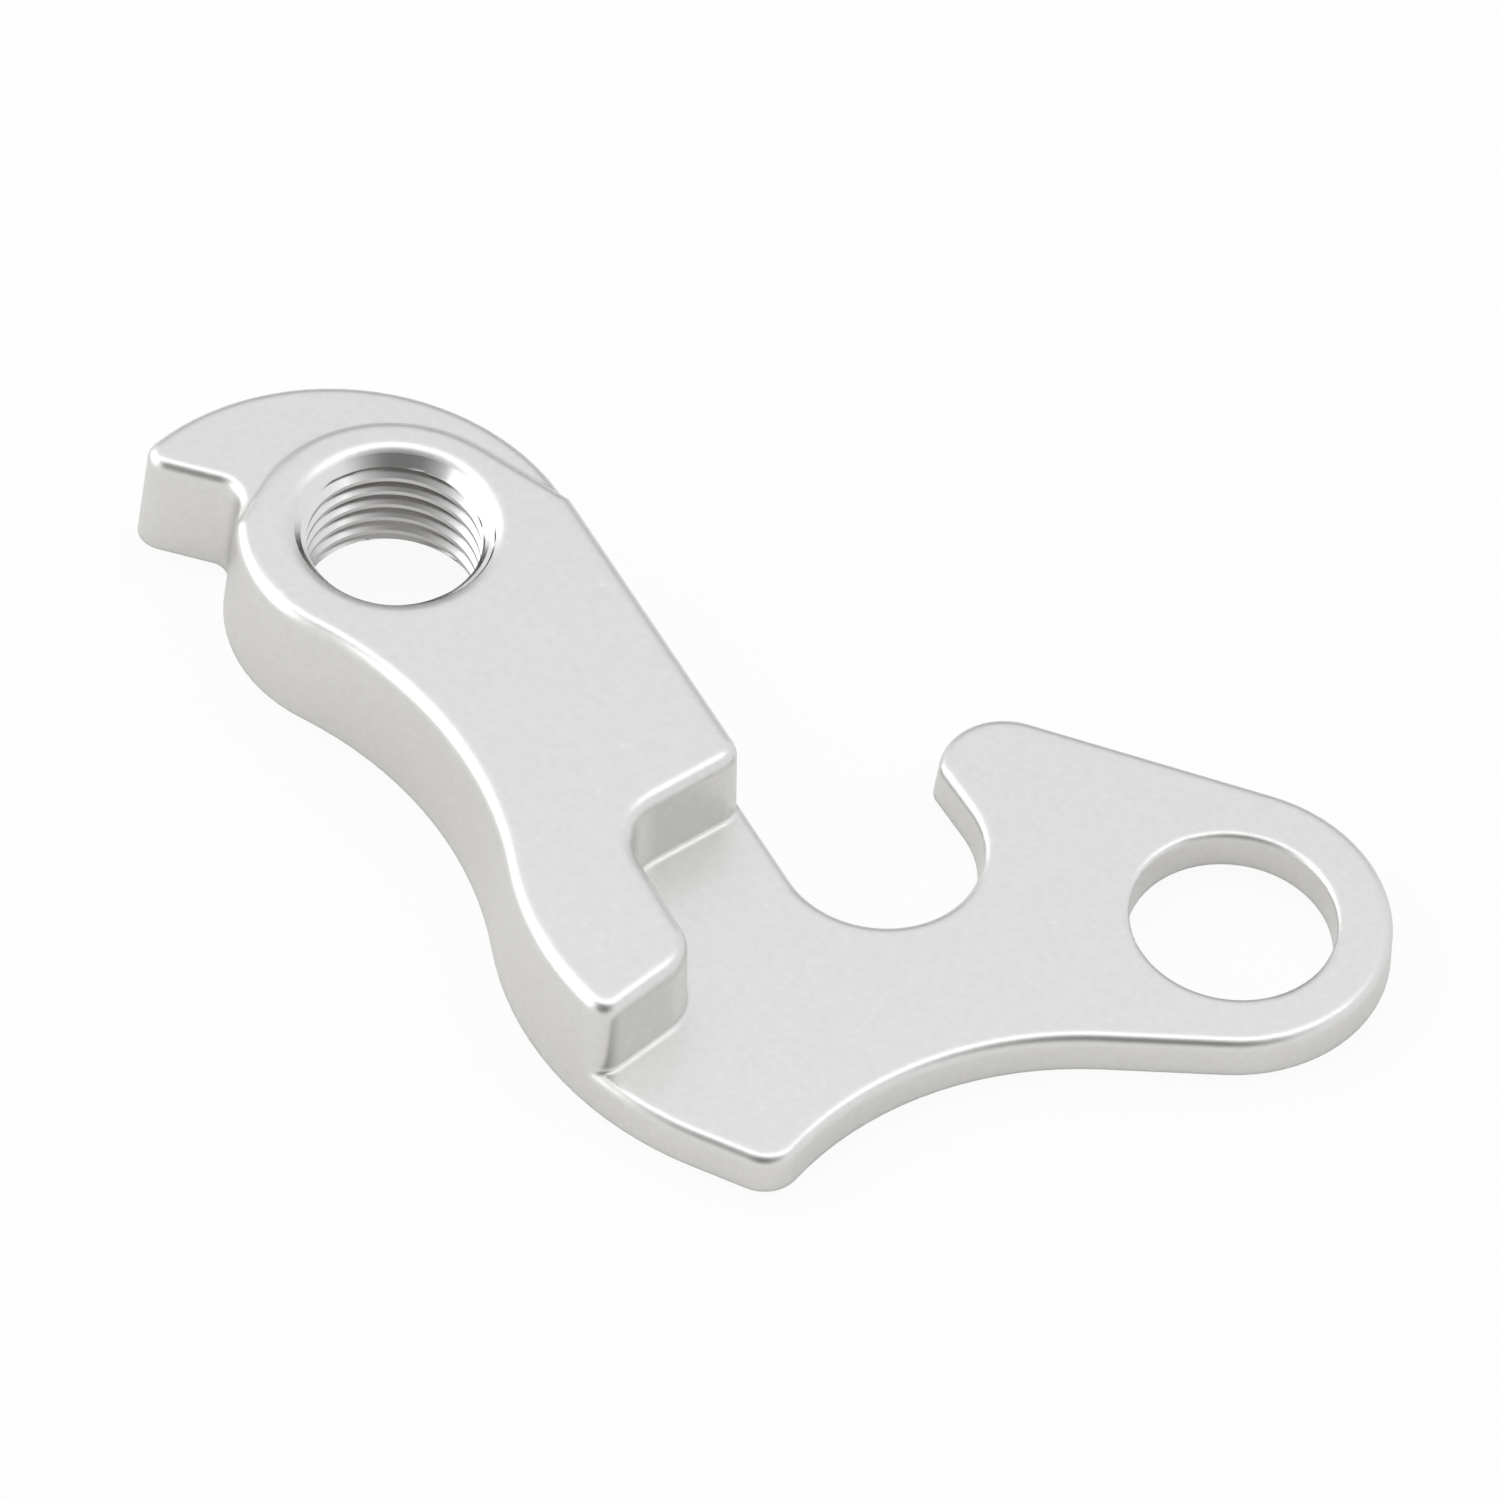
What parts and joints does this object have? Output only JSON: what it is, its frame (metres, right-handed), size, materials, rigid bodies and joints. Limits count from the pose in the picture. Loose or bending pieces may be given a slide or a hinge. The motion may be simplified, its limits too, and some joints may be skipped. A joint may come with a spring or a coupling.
{
  "type": "derailleur hanger",
  "caption": "Bicycle derailleur hanger: a forged aluminium plate with a bolt hole, an open axle slot and a thick arm that ends in a tapped bore and a stop tab.",
  "frame": {"origin": "axis of the frame bolt hole, at the plate's flat back face", "axes": "+X from the tapped derailleur bore towards the frame bolt hole, +Z from the back face through the part along both holes, +Y completes the right-handed set"},
  "size_m": [0.0685, 0.0348, 0.007],
  "materials": {
    "aluminium": "satin"
  },
  "bodies": {
    "root": {"hanger": "aluminium"}
  },
  "joints": []
}
